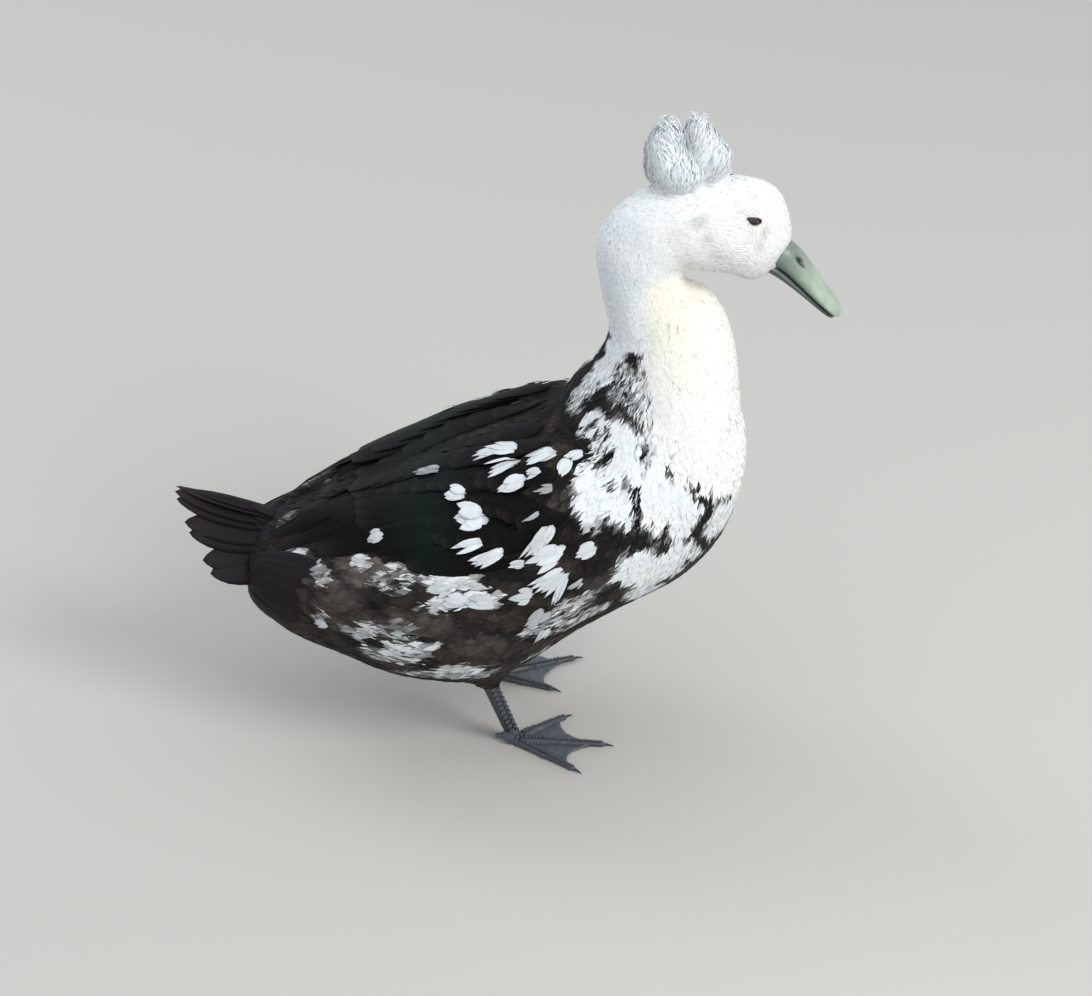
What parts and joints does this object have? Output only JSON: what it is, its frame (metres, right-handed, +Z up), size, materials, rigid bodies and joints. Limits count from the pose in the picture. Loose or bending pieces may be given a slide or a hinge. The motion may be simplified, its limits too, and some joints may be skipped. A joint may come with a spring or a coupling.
{
  "type": "crested duck",
  "caption": "Standing crested duck with a drawn-back neck, round feather crest, folded wings and webbed feet, black with white head and breast.",
  "frame": {"origin": "on the ground under the middle of the body's length, between the two feet", "axes": "+X from tail to bill, +Y to the duck's left, +Z up"},
  "size_m": [0.4528, 0.1896, 0.4592],
  "materials": {
    "white_plumage": "short soft white feathers",
    "dark_plumage": "black to dark brown feathers with white patches",
    "flight_feathers": "glossy black vanes with a faint green sheen",
    "bill": "smooth sage green horn",
    "leg_skin": "scaled dark slate skin",
    "claw": "dark horn",
    "eye": "wet dark brown"
  },
  "bodies": {
    "root": {"head": "white_plumage", "neck": "white_plumage", "crest": "white_plumage", "trunk": "dark_plumage", "wing_left": "flight_feathers", "wing_right": "flight_feathers", "tail": "flight_feathers", "bill_upper": "bill", "bill_lower": "bill", "eye_left": "eye", "eye_right": "eye", "leg_left": "leg_skin", "leg_right": "leg_skin", "foot_left": "leg_skin", "foot_right": "leg_skin", "claw_inner_left": "claw", "claw_middle_left": "claw", "claw_outer_left": "claw", "claw_inner_right": "claw", "claw_middle_right": "claw", "claw_outer_right": "claw"}
  },
  "joints": []
}
